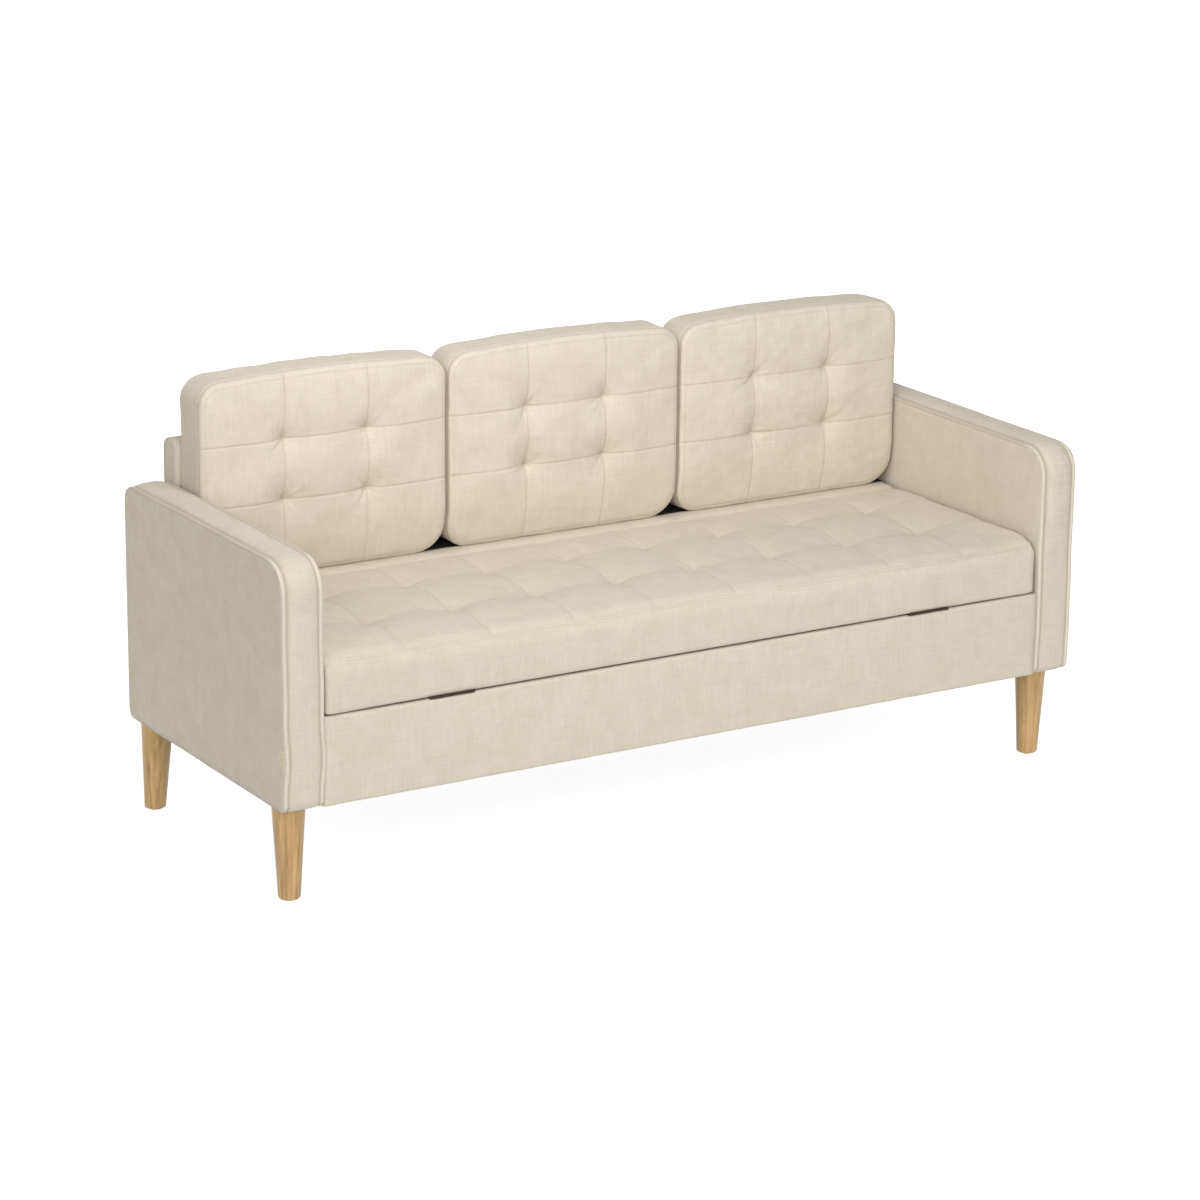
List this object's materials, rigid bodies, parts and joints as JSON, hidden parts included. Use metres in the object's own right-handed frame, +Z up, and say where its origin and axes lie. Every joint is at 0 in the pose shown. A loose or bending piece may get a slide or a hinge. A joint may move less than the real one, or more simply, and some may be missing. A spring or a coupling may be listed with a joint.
{
  "type": "storage sofa",
  "caption": "Upholstered sofa with slim track arms, a tufted lift-up seat over a storage box, loose tufted back cushions and tapered wooden legs.",
  "frame": {"origin": "on the floor under the middle of the sofa", "axes": "+X to the right along the width, the front faces -Y, +Z up"},
  "size_m": [1.665, 0.62, 0.82],
  "materials": {
    "cream_linen": "matte",
    "welt_cord": "matte",
    "black_lining": "matte",
    "foam": "matte",
    "fibre_filling": "matte",
    "rubberwood": "satin",
    "pine": "matte",
    "plywood": "matte",
    "hardboard": "matte",
    "zinc_steel": "satin",
    "black_steel": "satin",
    "chrome_rod": "polished",
    "dark_pad": "matte",
    "nylon": "matte"
  },
  "bodies": {
    "body": {"left_arm_cover": "cream_linen", "left_arm_piping": "welt_cord", "left_arm_padding": "foam", "left_arm_boards": "hardboard", "left_arm_frame": "pine", "front_left_leg": "rubberwood", "rear_left_leg": "rubberwood", "right_arm_cover": "cream_linen", "right_arm_piping": "welt_cord", "right_arm_padding": "foam", "right_arm_boards": "hardboard", "right_arm_frame": "pine", "front_right_leg": "rubberwood", "rear_right_leg": "rubberwood", "arm_bolts": "zinc_steel", "leg_plates": "zinc_steel", "leg_plate_screws": "zinc_steel", "hanger_bolts": "zinc_steel", "leg_glides": "nylon", "back_cover": "cream_linen", "back_padding": "foam", "back_panel": "hardboard", "back_frame": "pine", "back_lining": "black_lining", "front_panel_cover": "cream_linen", "front_padding": "foam", "front_panel_board": "plywood", "base_rails": "pine", "floor_bearers": "pine", "storage_floor": "plywood", "storage_end_boards": "plywood", "storage_rear_board": "plywood", "dust_cover": "black_lining", "hinge_rail": "pine", "shelf_bearers": "pine", "cushion_shelf": "plywood", "shelf_lining": "black_lining", "hinge_base_leaves": "zinc_steel", "hinge_pins": "zinc_steel", "base_hardware_screws": "zinc_steel", "strut_base_brackets": "black_steel", "lid_bumpers": "dark_pad"},
    "seat_lid": {"seat_cover": "cream_linen", "lid_lining": "black_lining", "lid_frame": "pine", "lid_board": "plywood", "seat_foam": "foam", "hinge_lid_leaves": "zinc_steel", "lid_hardware_screws": "zinc_steel", "strut_lid_brackets": "black_steel"},
    "left_cylinder": {"left_strut_cylinder": "black_steel"},
    "right_cylinder": {"right_strut_cylinder": "black_steel"},
    "left_rod": {"left_strut_rod": "chrome_rod"},
    "right_rod": {"right_strut_rod": "chrome_rod"},
    "left_cushion": {"left_back_cushion": "cream_linen", "left_cushion_core": "fibre_filling"},
    "middle_cushion": {"middle_back_cushion": "cream_linen", "middle_cushion_core": "fibre_filling"},
    "right_cushion": {"right_back_cushion": "cream_linen", "right_cushion_core": "fibre_filling"}
  },
  "joints": [
    {"name": "lid_hinge", "type": "hinge", "parent": "body", "child": "seat_lid", "pos_m": [0, 0.168, 0.406], "axis": [-1, 0, 0], "range_deg": [0, 50]},
    {"name": "left_cylinder_swing", "type": "hinge", "parent": "body", "child": "left_cylinder", "pos_m": [-0.72, 0.15, 0.222], "axis": [-1, 0, 0], "range_deg": [0, 25]},
    {"name": "left_rod_swing", "type": "hinge", "parent": "seat_lid", "child": "left_rod", "pos_m": [-0.72, -0.00098, 0.331], "axis": [-1, 0, 0], "range_deg": [-25, 0]},
    {"name": "right_cylinder_swing", "type": "hinge", "parent": "body", "child": "right_cylinder", "pos_m": [0.72, 0.15, 0.222], "axis": [-1, 0, 0], "range_deg": [0, 25]},
    {"name": "right_rod_swing", "type": "hinge", "parent": "seat_lid", "child": "right_rod", "pos_m": [0.72, -0.00098, 0.331], "axis": [-1, 0, 0], "range_deg": [-25, 0]},
    {"name": "left_cushion_lift", "type": "slide", "parent": "body", "child": "left_cushion", "axis": [0, 0, 1], "range_m": [0, 0.4]},
    {"name": "middle_cushion_lift", "type": "slide", "parent": "body", "child": "middle_cushion", "axis": [0, 0, 1], "range_m": [0, 0.4]},
    {"name": "right_cushion_lift", "type": "slide", "parent": "body", "child": "right_cushion", "axis": [0, 0, 1], "range_m": [0, 0.4]}
  ],
  "couplings": [
    {"joint": "left_cylinder_swing", "follows": "lid_hinge", "ratio": 0.5},
    {"joint": "left_rod_swing", "follows": "lid_hinge", "ratio": -0.5},
    {"joint": "right_cylinder_swing", "follows": "lid_hinge", "ratio": 0.5},
    {"joint": "right_rod_swing", "follows": "lid_hinge", "ratio": -0.5}
  ]
}
